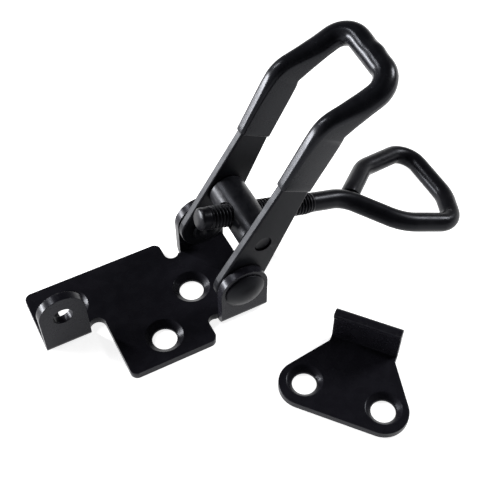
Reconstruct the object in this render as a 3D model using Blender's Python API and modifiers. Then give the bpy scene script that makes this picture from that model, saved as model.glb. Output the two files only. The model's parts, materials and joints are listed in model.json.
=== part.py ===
"""Stair gate latch: a toggle latch with a screw-adjusted hook, and the keeper it pulls on.

Frame: +X runs from the base plate toward the hook's eye, +Y is the far side, +Z is up.
The origin is on the underside of the base plate, on its centre line, below the lever's pivot.
Driving sizes are in millimetres and are turned into metres by MM as the shapes are made.
"""

import math

import bmesh
import bpy
from mathutils import Matrix, Vector

MM = 0.001
GAP = 0.25                # running clearance between pieces that touch

# Base plate: one stamping with a wide middle, a padlock tab and two pivot ears
PLATE_T = 1.9
PLATE_LEFT = -41.6
PLATE_STEP = -28.0        # where the wide middle begins
NEAR_WING = (-8.2, 15.4)  # front end and reach of the wide middle, near side
FAR_WING = (-9.2, 14.2)
CORNER_R = 1.6
BEND_R = 2.2              # outside radius of every bend
BEND_INNER = BEND_R - PLATE_T
TAB_NOTCH = (1.6, 1.75)   # inner end and radius of the bend reliefs
EAR_NOTCHES = ((9.35, 1.55), (8.75, 1.65))
TAB_FACE = -1.25          # near face of the padlock tab
TAB_RIGHT = -31.5
TAB_TOP = 16.7
TAB_HOLE = (11.1, 2.15)   # height and radius
EAR_HALF = 5.5
EAR_OUTER = 11.7
EAR_TOP = 15.4
SCREW_HOLES = ((-7.5, -0.35), (-18.1, -9.3), (-33.45, 7.2))
HOLE_R = 2.7
SINK_R = 4.15
SINK_DEPTH = 1.3

# Lever: arms, knee and finger loop, turning on PIVOT_Z
PIVOT_Z = 9.9
PIVOT_R = 2.0
LEVER_ANGLE = 61.4        # arms above +X
KNEE_ANGLE = 36.5         # loop turned down from the arms
KNEE_AT = 41.0            # pivot to knee
LOOP_REACH = 15.1         # knee to the crossbar's centre line
KNEE_R = 4.5
LOOP_R = 4.4
LOOP_SKEW = 0.5           # far corner of the loop stands forward, near corner back
ARM_OUTER = EAR_OUTER - PLATE_T - GAP
ARM_T = 1.9
ARM_MID = ARM_OUTER - ARM_T / 2
LOOP_HALF = 8.9
ARM_ROOT = 5.5            # half width at the pivot
ARM_TIP = 3.55            # half width where the grip starts and up to the knee
WIRE_R = 2.0
GRIP_START = 26.0
ROUND_OVER = 9.0          # length past the knee in which the flat wire turns round
GRIP_BORE = 0.22
GRIP_WALL = 0.5

# Cross nut and hook bolt
NUT_AT = 11.3             # pivot to cross nut
NUT_R = 4.1
TRUNNION_R = 1.75
TRUNNION_SINK = 0.4       # below the arm's outer face
HOOK_ANGLE = -18.5        # hook's slope at rest
THREAD_R = 2.5
SHANK_R = 2.2
TIP_AT = -10.6            # free end, along the hook from the nut
THREAD_END = 18.0
EYE_START = 27.0
EYE_NEAR = (37.5, -10.2)   # where the near side begins, below the shank's line
EYE_END = ((51.0, -12.9), (54.9, -4.5), (55.1, 12.8))   # crossbar, turned back at its near end
EYE_FAR = (38.5, 8.3)      # where the far side ends
EYE_TAIL = (30.9, 1.87)    # middle of the wire's cut end
EYE_TURNS = (8.0, 12.0, 4.5, 10.0, 4.5, 8.0)   # bends from the shank round to the tail

# Rivets
HEAD_R = 4.5
HEAD_H = 1.7
TAIL_R = 3.1
TAIL_H = 0.9

# Keeper: its own frame has X along the two holes and the origin midway between them
KEEPER_AT = (8.3, -39.3)
KEEPER_TURN = -49.4
KEEPER_T = 1.9
KEEPER_PITCH = 17.0
KEEPER_HOLE_SHIFT = 0.4   # holes toward the riser from the middle of the round ends
KEEPER_END_R = 5.3
KEEPER_HOLE_R = 2.55
KEEPER_SINK_R = 3.75
RISER_SIDES = (-6.9, 7.6)
RISER_OUTER = 14.9        # far face
RISER_TOP = 10.5
LIP_REACH = 0.6           # lip stands this far in front of the riser
LIP_EDGE = 1.4            # height of the lip's front edge
LIP_R = 1.5               # round of the lip's back

STEEL_BLACK = (0.012, 0.012, 0.016, 1.0)
STEEL_SATIN = (0.022, 0.023, 0.026, 1.0)
VINYL_BLACK = (0.006, 0.006, 0.007, 1.0)


# ---------------------------------------------------------------- outlines

def arc(cx, cy, radius, start, end, steps):
    """Points of an arc, angles in degrees."""
    span = [math.radians(start + (end - start) * i / steps) for i in range(steps + 1)]
    return [(cx + radius * math.cos(a), cy + radius * math.sin(a)) for a in span]


def rounded(points, radii, steps):
    """Open path with each inner corner turned by an arc of its radius."""
    path = [Vector(points[0])]
    for before, corner, after, radius in zip(points, points[1:], points[2:], radii):
        corner = Vector(corner)
        into = (corner - Vector(before)).normalized()
        out = (Vector(after) - corner).normalized()
        turn = into.angle(out)
        reach = radius * math.tan(turn / 2)
        start = corner - into * reach
        centre = start + (out - into * into.dot(out)).normalized() * radius
        arm = start - centre
        for i in range(steps + 1):
            angle = turn * i / steps
            path.append(centre + arm * math.cos(angle) + into * radius * math.sin(angle))
    path.append(Vector(points[-1]))
    return path


def channel(foot, outer, top, radius, inner):
    """Section of a sheet bent up from flat: foot and outer across, top upward."""
    centre = outer - radius
    section = [(foot, 0.0)]
    section += arc(centre, radius, radius, -90, 0, 8)
    section += [(outer, top), (outer - (radius - inner), top)]
    section += arc(centre, radius, inner, 0, -90, 4)
    section.append((foot, radius - inner))
    return section


# ---------------------------------------------------------------- solids

def add_object(name, mesh, collection):
    obj = bpy.data.objects.new(name, mesh)
    collection.objects.link(obj)
    return obj


def slab(name, points, thickness, axes, collection):
    """Flat outline in mm, given thickness, with its local axes laid on the given ones."""
    curve = bpy.data.curves.new(name, "CURVE")
    curve.dimensions = "2D"
    curve.fill_mode = "BOTH"
    curve.extrude = thickness * MM / 2
    spline = curve.splines.new("POLY")
    spline.points.add(len(points) - 1)
    for point, (x, y) in zip(spline.points, points):
        point.co = (x * MM, y * MM, 0.0, 1.0)
    spline.use_cyclic_u = True
    return as_mesh(name, curve, axes, collection)


def wire(name, points, radii, depth, axes, collection):
    """Round wire in mm along open points, thicker or thinner point by point."""
    curve = bpy.data.curves.new(name, "CURVE")
    curve.dimensions = "3D"
    curve.bevel_depth = depth * MM
    curve.bevel_resolution = 3
    curve.use_fill_caps = True
    spline = curve.splines.new("POLY")
    spline.points.add(len(points) - 1)
    for point, place, radius in zip(spline.points, points, radii):
        point.co = (place[0] * MM, place[1] * MM, 0.0, 1.0)
        point.radius = radius / depth
    return as_mesh(name, curve, axes, collection)


def as_mesh(name, curve, axes, collection):
    """Turn a curve into a closed mesh object laid on the axes, and drop the curve."""
    source = bpy.data.objects.new(name + "_curve", curve)
    collection.objects.link(source)
    depsgraph = bpy.context.evaluated_depsgraph_get()
    mesh = bpy.data.meshes.new_from_object(source.evaluated_get(depsgraph))
    mesh.name = name
    mesh.transform(axes)
    shell = bmesh.new()
    shell.from_mesh(mesh)
    bmesh.ops.remove_doubles(shell, verts=shell.verts, dist=1e-6)
    bmesh.ops.recalc_face_normals(shell, faces=shell.faces)
    shell.to_mesh(mesh)
    shell.free()
    bpy.data.objects.remove(source)
    bpy.data.curves.remove(curve)
    return add_object(name, mesh, collection)


def turned(name, profile, axes, collection, steps=40):
    """Solid of revolution about local Z from (radius, height) points, top to bottom."""
    mesh = bpy.data.meshes.new(name)
    points = [(r * MM, 0.0, z * MM) for r, z in profile]
    mesh.from_pydata(points, [(i, i + 1) for i in range(len(points) - 1)], [])
    obj = add_object(name, mesh, collection)
    screw = obj.modifiers.new("Turn", "SCREW")
    screw.steps = steps
    screw.render_steps = steps
    screw.use_merge_vertices = True
    screw.merge_threshold = 1e-6
    obj.matrix_world = axes
    return obj


def loft(name, outer, inner, collection):
    """Body through matching rings; with inner rings it is a sleeve, else a bar with ends."""
    shell = bmesh.new()
    skins = []
    for rings in (outer, inner):
        skins.append([[shell.verts.new(point * MM) for point in ring] for ring in rings])
    for rows in skins:
        for row, following in zip(rows, rows[1:]):
            for i in range(len(row)):
                j = (i + 1) % len(row)
                shell.faces.new((row[i], row[j], following[j], following[i]))
    if inner:
        for end in (0, -1):
            rim, bore = skins[0][end], skins[1][end]
            for i in range(len(rim)):
                j = (i + 1) % len(rim)
                shell.faces.new((rim[i], rim[j], bore[j], bore[i]))
    else:
        shell.faces.new(skins[0][0])
        shell.faces.new(skins[0][-1])
    bmesh.ops.recalc_face_normals(shell, faces=shell.faces)
    mesh = bpy.data.meshes.new(name)
    shell.to_mesh(mesh)
    shell.free()
    return add_object(name, mesh, collection)


def combine(target, tool, operation):
    """Join, cut or intersect with an exact boolean that stays on the object."""
    boolean = target.modifiers.new(operation.title() + "_" + tool.name, "BOOLEAN")
    boolean.operation = operation
    boolean.solver = "EXACT"
    boolean.object = tool


def bake(obj):
    """Replace the object's mesh by its evaluated one."""
    depsgraph = bpy.context.evaluated_depsgraph_get()
    mesh = bpy.data.meshes.new_from_object(obj.evaluated_get(depsgraph))
    obj.modifiers.clear()
    old = obj.data
    obj.data = mesh
    mesh.name = obj.name
    bpy.data.meshes.remove(old)


def finish(obj, material, sharp=32.0):
    obj.data.materials.clear()
    obj.data.materials.append(material)
    obj.data.shade_smooth()
    obj.data.set_sharp_from_angle(angle=math.radians(sharp))


def steel(name, colour, metallic, roughness):
    material = bpy.data.materials.new(name)
    material.use_nodes = True
    shader = material.node_tree.nodes["Principled BSDF"]
    shader.inputs["Base Color"].default_value = colour
    shader.inputs["Metallic"].default_value = metallic
    shader.inputs["Roughness"].default_value = roughness
    return material


def axes(x_axis, y_axis, z_axis, origin=(0.0, 0.0, 0.0)):
    """Matrix that lays local axes on the given ones, with its origin in mm."""
    rows = [[x_axis[i], y_axis[i], z_axis[i], origin[i] * MM] for i in range(3)]
    return Matrix(rows + [[0.0, 0.0, 0.0, 1.0]])


def flat_at(z):
    return axes((1, 0, 0), (0, 1, 0), (0, 0, 1), (0, 0, z))


def across_x(x, side=1):
    """Outline across (Y, Z), thickness along X."""
    return axes((0, side, 0), (0, 0, 1), (side, 0, 0), (x, 0, 0))


def across_y(y, x=0.0, z=0.0):
    """Outline across (X, Z), thickness along Y."""
    return axes((1, 0, 0), (0, 0, 1), (0, -1, 0), (x, y, z))


def along_y(side, y, x=0.0, z=0.0):
    """Turned shape's axis pointing out along Y on the given side."""
    return axes((1, 0, 0), (0, 0, -side), (0, side, 0), (x, y, z))


def screw_hole(name, place, radius, sink_r, sink_depth, top, collection):
    """Cutter for a countersunk screw hole through a sheet whose top is at the given height."""
    profile = [(0.0, top + 1.0), (sink_r + 1.0 * (sink_r - radius) / sink_depth, top + 1.0)]
    profile += [(radius, top - sink_depth), (radius, -1.0), (0.0, -1.0)]
    spot = axes((1, 0, 0), (0, 1, 0), (0, 0, 1), (place[0], place[1], 0))
    return turned(name, profile, spot, collection)


def drill(name, radius, length, place, collection):
    """Round cutter of the given length."""
    profile = [(0.0, length / 2), (radius, length / 2), (radius, -length / 2), (0.0, -length / 2)]
    return turned(name, profile, place, collection)


# ---------------------------------------------------------------- pieces

def make_base_plate(parts, cutters, material):
    bend = EAR_OUTER - BEND_R
    tab_bend = TAB_FACE + BEND_R
    top, radius = TAB_NOTCH
    enter = 180 - math.degrees(math.asin((tab_bend - top + radius) / radius))
    near = [(PLATE_LEFT, tab_bend)]
    near += arc(PLATE_STEP - radius, top - radius, radius, enter, 0, 10)
    near += arc(PLATE_STEP + CORNER_R, CORNER_R - NEAR_WING[1], CORNER_R, 180, 270, 4)
    near += arc(NEAR_WING[0] - CORNER_R, CORNER_R - NEAR_WING[1], CORNER_R, 270, 360, 4)
    top, radius = EAR_NOTCHES[0]
    leave = math.degrees(math.asin((top + radius - bend) / radius))
    near += arc(NEAR_WING[0] + radius, -top - radius, radius, 180, leave, 8)
    near.append((EAR_HALF, -bend))
    far = [(EAR_HALF, bend)]
    top, radius = EAR_NOTCHES[1]
    leave = math.degrees(math.asin((top + radius - bend) / radius))
    far += arc(FAR_WING[0] + radius, top + radius, radius, -leave, -180, 8)
    far += arc(FAR_WING[0] - CORNER_R, FAR_WING[1] - CORNER_R, CORNER_R, 0, 90, 4)
    far += arc(PLATE_LEFT + CORNER_R, FAR_WING[1] - CORNER_R, CORNER_R, 90, 180, 4)
    plate = slab("base_plate", near + far, PLATE_T, flat_at(PLATE_T / 2), parts)

    ear_shape = [(-EAR_HALF, -1.0), (EAR_HALF, -1.0)]
    ear_shape += arc(0.0, EAR_TOP - EAR_HALF, EAR_HALF, 0, 180, 20)
    ear_section = channel(bend - 2.0, EAR_OUTER, EAR_TOP + 2.0, BEND_R, BEND_INNER)
    for side, label in ((1, "far"), (-1, "near")):
        ear = slab("ear_" + label, ear_section, 2 * EAR_HALF + 4, across_x(0.0, side), cutters)
        shape = slab("ear_shape_" + label, ear_shape, 8.0, across_y(side * 11.0), cutters)
        combine(ear, shape, "INTERSECT")
        bake(ear)
        combine(plate, ear, "UNION")

    tab_mid = (PLATE_LEFT + TAB_RIGHT) / 2
    tab_half = (TAB_RIGHT - PLATE_LEFT) / 2
    tab_shape = [(PLATE_LEFT, -1.0), (TAB_RIGHT, -1.0)]
    tab_shape += arc(tab_mid, TAB_TOP - tab_half, tab_half, 0, 180, 20)
    tab_section = channel(-tab_bend - 2.0, -TAB_FACE, TAB_TOP + 2.0, BEND_R, BEND_INNER)
    tab = slab("tab_sheet", tab_section, 2 * tab_half + 4, across_x(tab_mid, -1), cutters)
    shape = slab("tab_shape", tab_shape, 12.0, across_y(0.0), cutters)
    combine(tab, shape, "INTERSECT")
    bake(tab)
    combine(plate, tab, "UNION")

    for number, place in enumerate(SCREW_HOLES):
        name = "plate_screw_hole_%d" % number
        hole = screw_hole(name, place, HOLE_R, SINK_R, SINK_DEPTH, PLATE_T, cutters)
        combine(plate, hole, "DIFFERENCE")
    padlock = drill("padlock_hole", TAB_HOLE[1], 8.0, along_y(1, 0.0, tab_mid, TAB_HOLE[0]), cutters)
    combine(plate, padlock, "DIFFERENCE")
    pivot = drill("ear_holes", PIVOT_R + GAP, 40.0, along_y(1, 0.0, 0.0, PIVOT_Z), cutters)
    combine(plate, pivot, "DIFFERENCE")
    finish(plate, material)
    return plate


def make_rivet(label, side, parts, material):
    stack = PLATE_T + GAP + ARM_T + GAP
    dome_r = (HEAD_R ** 2 + HEAD_H ** 2) / (2 * HEAD_H)
    sweep = math.degrees(math.asin(HEAD_R / dome_r))
    dome = arc(0.0, GAP + HEAD_H - dome_r, dome_r, 90, 90 - sweep, 7)
    profile = [(0.0, dome[0][1])] + dome[1:]
    profile += [(HEAD_R - 0.15, GAP), (PIVOT_R, GAP), (PIVOT_R, -stack), (TAIL_R, -stack)]
    profile += [(TAIL_R, -stack - 0.6 * TAIL_H), (TAIL_R - 0.7, -stack - TAIL_H)]
    profile.append((0.0, -stack - TAIL_H))
    spot = along_y(side, side * EAR_OUTER, 0.0, PIVOT_Z)
    rivet = turned("pivot_rivet_" + label, profile, spot, parts, 36)
    finish(rivet, material)
    return rivet


def lever_path():
    """Centres and width directions along the far half of the lever, past the flat arm.

    Lever frame in mm: X along the arms from the pivot, Y world, Z the arms' width direction.
    The path runs from the grip's end over the knee and round the loop to mid crossbar.
    """
    turn = math.radians(KNEE_ANGLE)
    reach = KNEE_R * math.tan(turn / 2)
    up = Vector((0, 0, 1))
    normal = Vector((math.sin(turn), 0, math.cos(turn)))
    forward = Vector((math.cos(turn), 0, -math.sin(turn)))
    rows = []
    for along in (GRIP_START, GRIP_START + 4, GRIP_START + 8, KNEE_AT - reach - 2.5):
        side = ARM_MID + (LOOP_HALF - ARM_MID) * (along - GRIP_START) / (KNEE_AT - GRIP_START)
        rows.append((Vector((along, side, 0)), up))
    hub = Vector((KNEE_AT - reach, LOOP_HALF, -KNEE_R))
    for i in range(6):
        bend = turn * i / 5
        out = Vector((math.sin(bend), 0, math.cos(bend)))
        rows.append((hub + out * KNEE_R, out))
    corner = Vector((KNEE_AT, 0, 0)) + forward * (LOOP_REACH - LOOP_R)
    knee_exit = rows[-1][0]
    straight = corner + Vector((0, LOOP_HALF, 0)) - knee_exit
    rows += [(knee_exit + straight * share, normal) for share in (0.33, 0.67)]
    for i in range(7):
        swing = math.radians(90 * i / 6)
        side = LOOP_HALF - LOOP_R + LOOP_R * math.cos(swing)
        rows.append((corner + forward * LOOP_R * math.sin(swing) + Vector((0, side, 0)), normal))
    rows.append((corner + forward * LOOP_R, normal))
    return rows


def lever_stations():
    """Centre, width direction, half width, half thickness and squareness, pivot to crossbar."""
    ends = []
    for angle in (15, 30, 45, 60, 75):
        turn = math.radians(angle)
        ends.append((-ARM_ROOT * math.cos(turn), ARM_ROOT * math.sin(turn)))
    for along in (0.0, 3.0, 8.0, 14.0, 20.0):
        ends.append((along, ARM_ROOT + (ARM_TIP - ARM_ROOT) * along / GRIP_START))
    up = Vector((0, 0, 1))
    flat = ARM_T / 2
    rows = [(Vector((along, ARM_MID, 0)), up, half, flat, 5.0) for along, half in ends]
    travelled = GRIP_START
    last = None
    for centre, normal in lever_path():
        travelled += (centre - last).length if last else 0.0
        last = centre
        share = min(max((travelled - KNEE_AT + 3.0) / (ROUND_OVER + 3.0), 0.0), 1.0)
        half = ARM_TIP + (WIRE_R - ARM_TIP) * share
        thick = flat + (WIRE_R - flat) * share
        rows.append((centre, normal, half, thick, 5.0 - 3.0 * share))
    return rows


def skewed(centre):
    """The loop's slight skew: its far side reaches further from the knee than its near side."""
    turn = math.radians(KNEE_ANGLE)
    forward = Vector((math.cos(turn), 0, -math.sin(turn)))
    gone = (centre - Vector((KNEE_AT, 0, 0))).dot(forward) / (LOOP_REACH - LOOP_R)
    share = min(max(gone, 0.0), 1.0)
    return centre + forward * (LOOP_SKEW * share * centre.y / LOOP_HALF)


def lever_rings(grow, first):
    """Rings round the whole lever, grown outward, from the given distance along the arms."""
    half = [row for row in lever_stations() if row[0].x >= first - 1e-6]
    flip = Vector((1, -1, 1))
    mirrored = [(row[0] * flip, row[1], row[2], row[3], row[4]) for row in reversed(half[:-1])]
    rows = [(skewed(row[0]),) + row[1:] for row in half + mirrored]
    rings = []
    for i, (centre, normal, wide, thick, square) in enumerate(rows):
        ahead = rows[min(i + 1, len(rows) - 1)][0]
        behind = rows[max(i - 1, 0)][0]
        tangent = (ahead - behind).normalized()
        across = normal.cross(tangent).normalized()
        ring = []
        for k in range(16):
            angle = 2 * math.pi * k / 16
            c, s = math.cos(angle), math.sin(angle)
            reach = (abs(c) ** square + abs(s) ** square) ** (-1 / square)
            point = centre + normal * (wide + grow) * c * reach
            ring.append(point + across * (thick + grow) * s * reach)
        rings.append(ring)
    return rings


def lever_frame():
    angle = math.radians(LEVER_ANGLE)
    along = (math.cos(angle), 0.0, math.sin(angle))
    width = (-math.sin(angle), 0.0, math.cos(angle))
    return axes(along, (0, 1, 0), width, (0, 0, PIVOT_Z))


def make_lever(parts, cutters, material):
    bar = loft("lever_bar", lever_rings(0.0, -ARM_ROOT), [], parts)
    bar.matrix_world = lever_frame()
    turn = lever_frame() @ along_y(1, 0.0)
    pivot = drill("lever_pivot_holes", PIVOT_R + GAP, 40.0, turn, cutters)
    combine(bar, pivot, "DIFFERENCE")
    seat = lever_frame() @ along_y(1, 0.0, NUT_AT)
    trunnions = drill("trunnion_holes", TRUNNION_R + GAP, 40.0, seat, cutters)
    combine(bar, trunnions, "DIFFERENCE")
    finish(bar, material, 50.0)
    return bar


def make_grip(parts, material):
    outer = lever_rings(GRIP_BORE + GRIP_WALL, GRIP_START)
    bore = lever_rings(GRIP_BORE, GRIP_START)
    grip = loft("lever_grip", outer, bore, parts)
    grip.matrix_world = lever_frame()
    finish(grip, material, 50.0)
    return grip


def hook_frame():
    """Frame of the hook: X along its shank, origin on the cross nut's axis."""
    lever = math.radians(LEVER_ANGLE)
    slope = math.radians(HOOK_ANGLE)
    origin = (NUT_AT * math.cos(lever), 0.0, PIVOT_Z + NUT_AT * math.sin(lever))
    along = (math.cos(slope), 0.0, math.sin(slope))
    up = (-math.sin(slope), 0.0, math.cos(slope))
    return axes(along, (0, 1, 0), up, origin)


def make_cross_nut(parts, cutters, material):
    body = ARM_OUTER - ARM_T - GAP
    end = ARM_OUTER - TRUNNION_SINK
    half = [(0.0, end), (TRUNNION_R - 0.3, end), (TRUNNION_R, end - 0.3), (TRUNNION_R, body)]
    half += [(NUT_R - 0.4, body), (NUT_R, body - 0.4)]
    profile = half + [(r, -z) for r, z in reversed(half)]
    nut = turned("cross_nut", profile, hook_frame() @ along_y(1, 0.0), parts)
    bore = hook_frame() @ axes((0, 1, 0), (0, 0, 1), (1, 0, 0))
    hole = drill("cross_nut_bore", THREAD_R + GAP, 20.0, bore, cutters)
    combine(nut, hole, "DIFFERENCE")
    finish(nut, material)
    return nut


def make_hook(parts, material):
    bends = [(THREAD_END + 0.6, 0.0), (EYE_START, 0.0), EYE_NEAR, *EYE_END, EYE_FAR, EYE_TAIL]
    eye = rounded(bends, EYE_TURNS, 6)
    ends = [(TIP_AT, 0.0), (TIP_AT + 0.9, 0.0), (THREAD_END, 0.0)]
    points = ends + [tuple(point) for point in eye]
    radii = [THREAD_R - 0.8, THREAD_R, THREAD_R] + [SHANK_R] * len(eye)
    hook = wire("hook_bolt", points, radii, SHANK_R, flat_at(0.0), parts)
    hook.matrix_world = hook_frame()
    finish(hook, material, 50.0)
    return hook


def make_keeper(parts, cutters, material):
    turn = math.radians(KEEPER_TURN)
    frame = axes(
        (math.cos(turn), math.sin(turn), 0),
        (-math.sin(turn), math.cos(turn), 0),
        (0, 0, 1),
        (KEEPER_AT[0], KEEPER_AT[1], 0),
    )
    hole_x = KEEPER_PITCH / 2
    foot_end = RISER_OUTER - BEND_R
    left, right = RISER_SIDES
    bend_start = foot_end - 1.0
    outline = arc(-hole_x, 0.0, KEEPER_END_R, 145, 270, 10)
    outline += arc(hole_x, 0.0, KEEPER_END_R, -90, 35, 10)
    outline += [(right, bend_start), (right, foot_end), (left, foot_end), (left, bend_start)]
    plate = slab("strike_plate", outline, KEEPER_T, flat_at(KEEPER_T / 2), parts)

    inner = RISER_OUTER - KEEPER_T
    section = [(foot_end - 3.0, 0.0)]
    section += arc(foot_end, BEND_R, BEND_R, -90, 0, 8)
    section += arc(RISER_OUTER - LIP_R, RISER_TOP - LIP_R, LIP_R, 0, 90, 6)
    section += [(inner - LIP_REACH, RISER_TOP), (inner - LIP_REACH, RISER_TOP - LIP_EDGE)]
    section.append((inner, RISER_TOP - LIP_EDGE - LIP_REACH))
    section += arc(foot_end, BEND_R, BEND_INNER, 0, -90, 4)
    section.append((foot_end - 3.0, KEEPER_T))
    riser = slab("riser", section, right - left, across_x((left + right) / 2), cutters)
    combine(plate, riser, "UNION")
    for number, place in enumerate((-hole_x, hole_x)):
        name = "keeper_screw_hole_%d" % number
        spot = (place, KEEPER_HOLE_SHIFT)
        hole = screw_hole(name, spot, KEEPER_HOLE_R, KEEPER_SINK_R, 1.2, KEEPER_T, cutters)
        combine(plate, hole, "DIFFERENCE")
    bake(plate)
    plate.matrix_world = frame
    finish(plate, material)
    return plate


def main():
    for obj in list(bpy.data.objects):
        bpy.data.objects.remove(obj)
    parts = bpy.data.collections.new("stair_gate_latch")
    cutters = bpy.data.collections.new("cutters")
    for collection in (parts, cutters):
        bpy.context.scene.collection.children.link(collection)

    plate_steel = steel("plate_steel", STEEL_BLACK, 0.6, 0.42)
    lever_steel = steel("lever_steel", STEEL_SATIN, 0.6, 0.45)
    rivet_steel = steel("rivet_steel", STEEL_SATIN, 0.7, 0.38)
    nut_steel = steel("nut_steel", STEEL_SATIN, 0.7, 0.4)
    hook_steel = steel("hook_steel", STEEL_BLACK, 0.7, 0.36)
    keeper_steel = steel("keeper_steel", STEEL_BLACK, 0.6, 0.42)
    grip_vinyl = steel("grip_vinyl", VINYL_BLACK, 0.0, 0.3)

    make_base_plate(parts, cutters, plate_steel)
    make_rivet("near", -1, parts, rivet_steel)
    make_rivet("far", 1, parts, rivet_steel)
    make_lever(parts, cutters, lever_steel)
    make_grip(parts, grip_vinyl)
    make_cross_nut(parts, cutters, nut_steel)
    make_hook(parts, hook_steel)
    make_keeper(parts, cutters, keeper_steel)
    for cutter in cutters.objects:
        cutter.hide_render = True
        cutter.display_type = "WIRE"


main()
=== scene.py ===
"""Stair gate latch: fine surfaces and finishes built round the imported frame.

Laid out as an add-on: sizes and finishes are properties, each piece has an operator, and the
panel in the 3D view's sidebar lists them in the order in which they are made.
"""

import json
import math

import bmesh
import bpy
from bpy.props import FloatProperty, FloatVectorProperty, PointerProperty
from mathutils import Matrix, Vector


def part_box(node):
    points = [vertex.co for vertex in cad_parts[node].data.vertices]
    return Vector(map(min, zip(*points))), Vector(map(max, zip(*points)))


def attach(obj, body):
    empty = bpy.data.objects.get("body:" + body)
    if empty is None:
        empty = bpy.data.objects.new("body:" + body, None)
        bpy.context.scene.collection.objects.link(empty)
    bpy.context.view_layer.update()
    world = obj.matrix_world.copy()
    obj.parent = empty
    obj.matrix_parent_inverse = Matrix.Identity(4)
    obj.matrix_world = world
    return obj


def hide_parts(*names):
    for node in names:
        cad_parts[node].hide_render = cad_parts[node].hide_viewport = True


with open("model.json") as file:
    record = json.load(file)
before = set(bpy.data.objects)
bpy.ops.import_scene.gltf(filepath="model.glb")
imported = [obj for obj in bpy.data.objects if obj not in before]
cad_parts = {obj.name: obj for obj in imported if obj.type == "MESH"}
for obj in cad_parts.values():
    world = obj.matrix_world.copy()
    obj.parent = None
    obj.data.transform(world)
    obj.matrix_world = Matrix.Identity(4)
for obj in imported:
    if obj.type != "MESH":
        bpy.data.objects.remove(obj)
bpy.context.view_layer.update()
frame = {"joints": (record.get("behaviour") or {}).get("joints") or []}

bl_info = {
    "name": "Stair Gate Latch",
    "version": (1, 0, 0),
    "blender": (4, 5, 0),
    "location": "View3D > Sidebar > Latch",
    "description": "Builds the toggle latch, its hook and its keeper around the packed frame",
    "category": "Object",
}

JOINTS = {joint["name"]: joint for joint in frame["joints"]}
PIVOT = Vector(JOINTS["lever_pivot"]["pos_m"])
NUT = Vector(JOINTS["hook_turn"]["pos_m"])
HOOK_AXIS = Vector(JOINTS["hook_turn"]["axis"]).normalized()
ARM_AXIS = (NUT - PIVOT).normalized()
EAR_INNER = 0.0098  # from the middle to an ear's inner face
PLATE_LOW, PLATE_HIGH = (Vector(corner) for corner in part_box("base_plate"))
RIVET_LOW, RIVET_HIGH = (Vector(corner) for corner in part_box("pivot_rivet_far"))
SIDE = Vector((0, 1, 0))
UP = Vector((0, 0, 1))


# ---------------------------------------------------------------- properties

def length(name, description, default):
    """A size in metres, shown in the scene's length unit."""
    return FloatProperty(
        name=name, description=description, default=default, min=0.0, unit="LENGTH", precision=5
    )


def colour(name, description, default):
    return FloatVectorProperty(
        name=name, description=description, default=default, size=4, subtype="COLOR", min=0, max=1
    )


def share(name, description, default):
    return FloatProperty(
        name=name, description=description, default=default, min=0.0, max=1.0, subtype="FACTOR"
    )


class LatchSheet(bpy.types.PropertyGroup):
    """Sizes of the two stampings."""

    thickness: length("Sheet thickness", "Steel sheet of both stampings", 0.0019)
    bend: length("Bend radius", "Outside radius of the bends", 0.0022)
    corner: length("Corner radius", "Corners of the base plate", 0.0016)
    edge: length("Edge softness", "Rounding of cut edges under the coating", 0.00022)
    near_notch: length("Near notch", "Bend relief at the near ear", 0.00155)
    far_notch: length("Far notch", "Bend relief at the far ear", 0.00165)
    tab_notch: length("Tab notch", "Bend relief beside the tab", 0.00175)
    hole: length("Screw hole radius", "Throat of the plate's screw holes", 0.0027)
    sink: length("Countersink radius", "Mouth of the plate's countersinks", 0.00415)
    sink_depth: length("Countersink depth", "Depth of the countersinks", 0.0013)
    padlock: length("Padlock hole radius", "Hole in the tab", 0.00215)
    keeper_hole: length("Keeper hole radius", "Throat of the keeper's holes", 0.00255)
    keeper_sink: length("Keeper countersink", "Mouth of the keeper's countersinks", 0.00375)
    keeper_pitch: length("Keeper pitch", "Between the keeper's holes", 0.017)
    keeper_end: length("Keeper end radius", "Round ends of the keeper", 0.0053)


class LatchLever(bpy.types.PropertyGroup):
    """Sizes of the lever, its sleeve and the cross nut."""

    root: length("Arm root", "Half width of an arm at the pivot", 0.0055)
    tip: length("Arm tip", "Half width of an arm under the sleeve", 0.00355)
    arm: length("Arm thickness", "Thickness of a flattened arm", 0.0019)
    wire: length("Wire radius", "Round part of the lever's wire", 0.002)
    sleeve_at: length("Sleeve start", "From the pivot to the sleeve's end", 0.026)
    sleeve: length("Sleeve wall", "Vinyl over the round wire", 0.0005)
    lip: length("Flat sleeve wall", "Vinyl over the flattened arms", 0.00038)
    knee_at: length("Knee", "From the pivot to the knee", 0.041)
    knee_radius: length("Knee radius", "Centre line of the knee", 0.0045)
    knee_angle: FloatProperty(
        name="Knee angle",
        description="Turn of the finger loop from the arms",
        default=math.radians(36.5),
        subtype="ANGLE",
    )
    reach: length("Loop reach", "From the knee to the crossbar", 0.0151)
    loop_half: length("Loop half width", "Centre line of the loop's sides", 0.0089)
    loop_radius: length("Loop corner", "Centre line of the loop's corners", 0.0044)
    skew: length("Loop skew", "Far corner of the loop forward, near corner back", 0.0005)
    nut: length("Nut radius", "Round of the cross nut", 0.0041)
    trunnion: length("Trunnion radius", "Pins of the cross nut", 0.00185)


class LatchHook(bpy.types.PropertyGroup):
    """Sizes of the threaded hook."""

    crest: length("Thread crest", "Outer radius of the thread", 0.00248)
    depth: length("Thread depth", "Crest to root", 0.00046)
    pitch: length("Thread pitch", "Advance in one turn", 0.0008)
    shank: length("Shank radius", "Wire of the shank and eye", 0.0022)
    tip: length("Free end", "From the nut to the free end", 0.0106)
    thread_end: length("Thread end", "From the nut to the last thread", 0.018)
    eye_start: length("Eye start", "From the nut to the first bend", 0.027)
    eye_turn: length("Eye corner", "Centre line of the eye's corners", 0.0045)


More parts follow.
